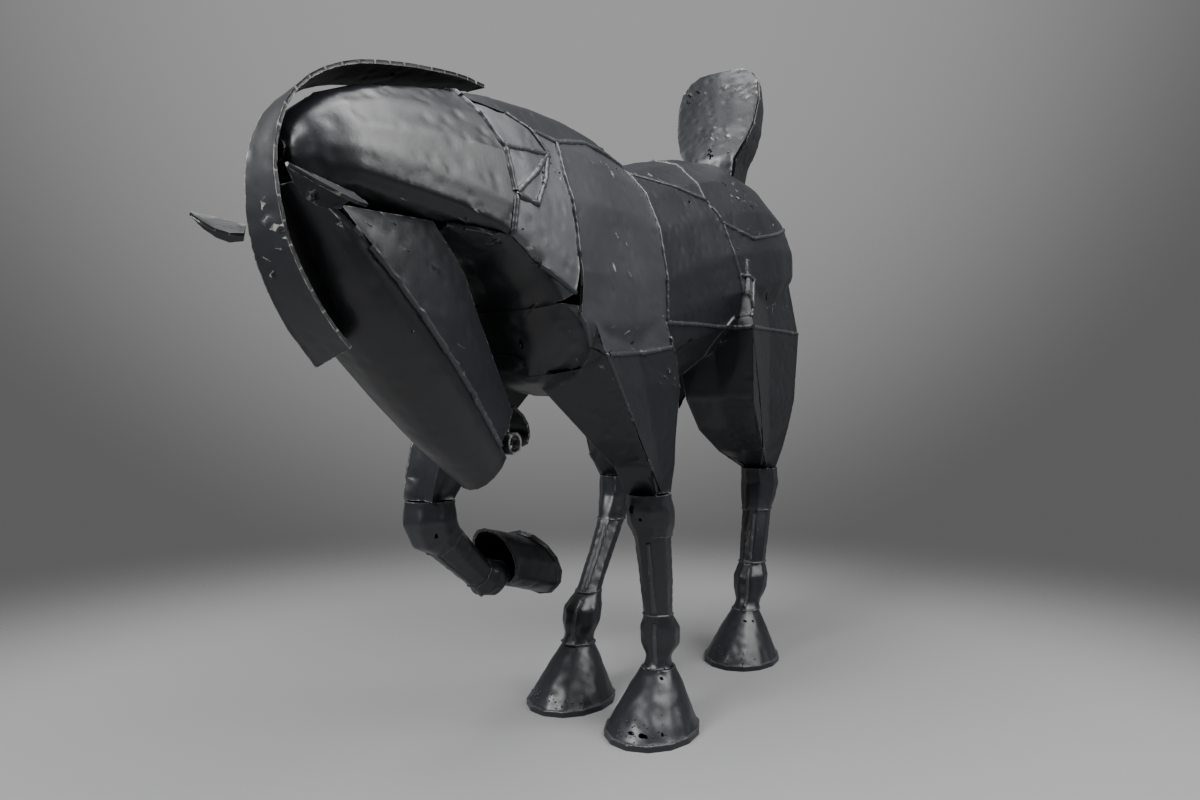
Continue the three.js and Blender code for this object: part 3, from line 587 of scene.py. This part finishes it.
# %% [markdown]
# ## Satin black paint over worn steel
#
# The coat is nearly black, a little blue, and satin: light spreads over it in broad soft patches. It has
# worn through to pale steel along rims and beads, and dust lies in it as faint clouds. One node group works
# out the worn mask, the cloudiness and the small relief for every finish on the horse.

# %% The group that wears a coat of paint
def new_group(name, inputs, outputs):
    group = bpy.data.node_groups.new(name, "ShaderNodeTree")
    for socket, kind, value in inputs:
        group.interface.new_socket(socket, in_out="INPUT", socket_type=kind).default_value = value
    for socket, kind in outputs:
        group.interface.new_socket(socket, in_out="OUTPUT", socket_type=kind)
    return group


def put(tree, kind, **values):
    node = tree.nodes.new(kind)
    for name, value in values.items():
        if hasattr(node, name):
            setattr(node, name, value)
        else:
            node.inputs[name.replace("_", " ")].default_value = value
    return node


def math_node(tree, operation, a, b, clamp=False):
    node = put(tree, "ShaderNodeMath", operation=operation, use_clamp=clamp)
    for socket, value in zip(node.inputs, (a, b)):
        if isinstance(value, (int, float)):
            socket.default_value = value
        else:
            tree.links.new(value, socket)
    return node.outputs[0]


def noise_node(tree, coordinates, scale, detail, roughness=0.55):
    node = put(tree, "ShaderNodeTexNoise", Scale=scale, Detail=detail, Roughness=roughness)
    tree.links.new(coordinates, node.inputs["Vector"])
    return node.outputs["Fac"]


NUMBER = "NodeSocketFloat"
worn_coat = new_group(
    "worn coat",
    [("Rubbed", NUMBER, 0.6), ("Speckle", NUMBER, 0.3)],
    [("Bare", NUMBER), ("Cloud", NUMBER), ("Relief", NUMBER)],
)
tree = worn_coat
entry = put(tree, "NodeGroupInput")
leave = put(tree, "NodeGroupOutput")
place = put(tree, "ShaderNodeTexCoord").outputs["Object"]
rim = put(tree, "ShaderNodeAttribute", attribute_name="wear").outputs["Fac"]
fine = noise_node(tree, place, 330, 5)
broad = noise_node(tree, place, 9, 4)
blotch = noise_node(tree, place, 85, 6, 0.7)
rubbed = math_node(tree, "MULTIPLY", rim, entry.outputs["Rubbed"])
patchy = math_node(tree, "ADD", rubbed, math_node(tree, "MULTIPLY", blotch, 0.9))
threshold = math_node(tree, "SUBTRACT", patchy, 0.98)
speck = math_node(tree, "SUBTRACT", fine, 0.74)
speck = math_node(tree, "MULTIPLY", math_node(tree, "MULTIPLY", speck, 14, True), entry.outputs["Speckle"])
bare = math_node(tree, "MAXIMUM", math_node(tree, "MULTIPLY", threshold, 4.5, True), speck)
tree.links.new(bare, leave.inputs["Bare"])
tree.links.new(broad, leave.inputs["Cloud"])
grain = math_node(tree, "MULTIPLY", fine, 0.35)
relief = math_node(tree, "ADD", grain, math_node(tree, "MULTIPLY", blotch, 0.65))
tree.links.new(relief, leave.inputs["Relief"])
print("group sockets:", [s.name for s in worn_coat.interface.items_tree])

# %% The finishes
BLACK = (0.0085, 0.0092, 0.0112, 1)
SHEEN_BLACK = (0.016, 0.0175, 0.0215, 1)
GRAPHITE = (0.055, 0.057, 0.063, 1)
THIN_COAT = (0.17, 0.172, 0.18, 1)
PALE_STEEL = (0.30, 0.295, 0.28, 1)


def finish(name, dark, light, gloss, rubbed, speckle, bump, metal=0.0):
    material = bpy.data.materials.new(name)
    material.use_nodes = True
    tree = material.node_tree
    surface = tree.nodes["Principled BSDF"]
    coat = put(tree, "ShaderNodeGroup")
    coat.node_tree = worn_coat
    coat.inputs["Rubbed"].default_value = rubbed
    coat.inputs["Speckle"].default_value = speckle
    tones = put(tree, "ShaderNodeMix", data_type="RGBA")
    for socket in [s for s in tones.inputs if s.type == "RGBA"]:
        socket.default_value = dark if socket.name == "A" else light
    tree.links.new(coat.outputs["Cloud"], tones.inputs["Factor"])
    worn = put(tree, "ShaderNodeMix", data_type="RGBA")
    [s for s in worn.inputs if s.type == "RGBA" and s.name == "B"][0].default_value = PALE_STEEL
    color_in = [s for s in worn.inputs if s.type == "RGBA" and s.name == "A"][0]
    tree.links.new([s for s in tones.outputs if s.type == "RGBA"][0], color_in)
    tree.links.new(coat.outputs["Bare"], worn.inputs["Factor"])
    tree.links.new([s for s in worn.outputs if s.type == "RGBA"][0], surface.inputs["Base Color"])
    rough = math_node(tree, "MULTIPLY", coat.outputs["Cloud"], 0.22)
    tree.links.new(math_node(tree, "ADD", rough, gloss - 0.11), surface.inputs["Roughness"])
    if metal:
        surface.inputs["Metallic"].default_value = metal
    lift = put(tree, "ShaderNodeBump", Strength=bump, Distance=0.0006)
    tree.links.new(coat.outputs["Relief"], lift.inputs["Height"])
    tree.links.new(lift.outputs["Normal"], surface.inputs["Normal"])
    return material


satin_black = finish("satin black paint", BLACK, SHEEN_BLACK, 0.37, 0.62, 0.10, 0.5)
strip_black = finish("satin black on the crest strip", BLACK, SHEEN_BLACK, 0.47, 0.70, 0.05, 0.35)
thin_graphite = finish("graphite where the coat is thin", SHEEN_BLACK, GRAPHITE, 0.36, 0.7, 0.2, 0.5)
ground_patch = finish("newly ground patches", GRAPHITE, THIN_COAT, 0.38, 0.8, 0.3, 0.6, metal=0.5)
bead_paint = finish("painted beads of weld", SHEEN_BLACK, GRAPHITE, 0.36, 0.75, 0.4, 1.0)

FINISH_OF = {
    "left_collar": ground_patch,
    "left_flank_patch": thin_graphite,
    "left_shoulder": thin_graphite,
    "mane_strip": strip_black,
    "proud_weld": bead_paint,
    "weld_spatter": bead_paint,
    "ground_weld": bead_paint,
}
for name, piece in dressed.items():
    chosen = next((m for start, m in FINISH_OF.items() if name.startswith(start)), satin_black)
    piece.data.materials.append(chosen)
print("finishes:", sorted({o.data.materials[0].name for o in dressed.values()}))

# %% [markdown]
# ## Floor, light and camera
#
# The horse stands on a plain pale floor that runs off to a grey surround with a painted glow of light on it. A
# broad soft light hangs high on the left of the camera, a long one overhead draws the line of the back, and a
# wide one on the right lifts the flank. The camera stands low and close, with a wide lens, a little to the
# horse's left.

# %% Floor
FLOOR_RADIUS = 6.0
FADE = (0.8, 2.0)
NEAR_TONE, FAR_TONE = (0.23, 0.23, 0.233, 1), (0.16, 0.16, 0.162, 1)
bm = bmesh.new()
bmesh.ops.create_circle(bm, cap_ends=True, segments=96, radius=FLOOR_RADIUS)
floor_mesh = bpy.data.meshes.new("floor")
bm.to_mesh(floor_mesh)
bm.free()
floor = bpy.data.objects.new("floor", floor_mesh)
bpy.context.scene.collection.objects.link(floor)
paper = bpy.data.materials.new("pale paper floor")
paper.use_nodes = True
tree = paper.node_tree
distance = put(tree, "ShaderNodeVectorMath", operation="LENGTH")
tree.links.new(put(tree, "ShaderNodeTexCoord").outputs["Object"], distance.inputs[0])
spread = put(tree, "ShaderNodeMapRange", interpolation_type="SMOOTHSTEP", clamp=True)
spread.inputs["From Min"].default_value = 0.8
spread.inputs["From Max"].default_value = 1.8
tree.links.new(distance.outputs["Value"], spread.inputs["Value"])
tones = put(tree, "ShaderNodeMix", data_type="RGBA")
for socket in [s for s in tones.inputs if s.type == "RGBA"]:
    socket.default_value = NEAR_TONE if socket.name == "A" else FAR_TONE
tree.links.new(spread.outputs["Result"], tones.inputs["Factor"])
paper_surface = tree.nodes["Principled BSDF"]
tree.links.new([s for s in tones.outputs if s.type == "RGBA"][0], paper_surface.inputs["Base Color"])
paper_surface.inputs["Roughness"].default_value = 0.85
fade = put(tree, "ShaderNodeMapRange", interpolation_type="SMOOTHSTEP", clamp=True)
fade.inputs["From Min"].default_value, fade.inputs["From Max"].default_value = FADE
tree.links.new(distance.outputs["Value"], fade.inputs["Value"])
ending = put(tree, "ShaderNodeMixShader")
tree.links.new(fade.outputs["Result"], ending.inputs["Fac"])
tree.links.new(paper_surface.outputs["BSDF"], ending.inputs[1])
tree.links.new(put(tree, "ShaderNodeBsdfTransparent").outputs["BSDF"], ending.inputs[2])
tree.links.new(ending.outputs["Shader"], tree.nodes["Material Output"].inputs["Surface"])
floor_mesh.materials.append(paper)
print("floor", FLOOR_RADIUS, "m")

# %% Surround
# Behind the horse hangs a lit grey backdrop, and the room behind the camera is dark. What the paint mirrors
# is therefore brighter in the direction of the backdrop. The eye sees a grey with a painted glow of light on
# it, brightest towards TO_GLOW, above the backdrop.
SEEN_DARK, SEEN_LIGHT = 0.115, 0.36
LIT_GREY, DARK_GREY = 0.17, 0.035
TO_GLOW = Vector((-0.463, 0.741, 0.489))
TO_BACKDROP = Vector((-0.487, 0.873, 0.0))
world = bpy.data.worlds.new("grey surround")
bpy.context.scene.world = world
world.use_nodes = True
tree = world.node_tree
toward = put(tree, "ShaderNodeVectorMath", operation="DOT_PRODUCT")
toward.inputs[1].default_value = TO_BACKDROP
tree.links.new(put(tree, "ShaderNodeTexCoord").outputs["Generated"], toward.inputs[0])
room = put(tree, "ShaderNodeMapRange", clamp=True, interpolation_type="SMOOTHSTEP")
for socket, value in (("From Min", -0.7), ("From Max", 0.9), ("To Min", DARK_GREY), ("To Max", LIT_GREY)):
    room.inputs[socket].default_value = value
tree.links.new(toward.outputs["Value"], room.inputs["Value"])
seen = put(tree, "ShaderNodeMix", data_type="FLOAT")
tree.links.new(put(tree, "ShaderNodeLightPath").outputs["Is Camera Ray"], seen.inputs["Factor"])
numbers = [s for s in seen.inputs if s.type == "VALUE" and s.name in ("A", "B")]
tree.links.new(room.outputs["Result"], numbers[0])
# Painted light: what the camera sees brightens from SEEN_DARK to SEEN_LIGHT towards TO_GLOW, a painted pool of
# light on the backdrop.
glow = put(tree, "ShaderNodeVectorMath", operation="DOT_PRODUCT")
glow.inputs[1].default_value = TO_GLOW
tree.links.new(put(tree, "ShaderNodeTexCoord").outputs["Generated"], glow.inputs[0])
painted_glow_on_wall = put(tree, "ShaderNodeMapRange", clamp=True, interpolation_type="SMOOTHSTEP")
for socket, value in (("From Min", 0.72), ("From Max", 1.0), ("To Min", SEEN_DARK), ("To Max", SEEN_LIGHT)):
    painted_glow_on_wall.inputs[socket].default_value = value
tree.links.new(glow.outputs["Value"], painted_glow_on_wall.inputs["Value"])
tree.links.new(painted_glow_on_wall.outputs["Result"], numbers[1])
tree.links.new([s for s in seen.outputs if s.type == "VALUE"][0], tree.nodes["Background"].inputs["Color"])
print("surround made")

# %% Lights
AIM = Vector((0.0, -0.15, 0.6))


def soft_light(name, place, size, power):
    data = bpy.data.lights.new(name, "AREA")
    data.shape = "RECTANGLE"
    data.size, data.size_y = size
    data.energy = power
    light = bpy.data.objects.new(name, data)
    light.location = place
    light.rotation_euler = (Vector(place) - AIM).to_track_quat("Z", "Y").to_euler()
    bpy.context.scene.collection.objects.link(light)


soft_light("high soft light on the left", (-0.7, -2.3, 2.2), (1.3, 1.3), 150)
soft_light("long light overhead", (0.6, -0.1, 2.7), (1.0, 2.4), 75)
soft_light("wide light on the right", (1.9, 0.4, 2.1), (1.3, 1.9), 55)

# %% Camera
CAMERA_AT = Vector((0.5910, -1.0143, 0.480))
LOOKS_LEFT = math.radians(29.14)
lens = bpy.data.cameras.new("portrait camera")
lens.sensor_width = 36
lens.lens = 24
lens.clip_start = 0.05
camera = bpy.data.objects.new("portrait camera", lens)
camera.location = CAMERA_AT
camera.rotation_euler = (math.pi / 2, 0, LOOKS_LEFT)
bpy.context.scene.collection.objects.link(camera)
bpy.context.scene.camera = camera
print("camera at", tuple(CAMERA_AT))
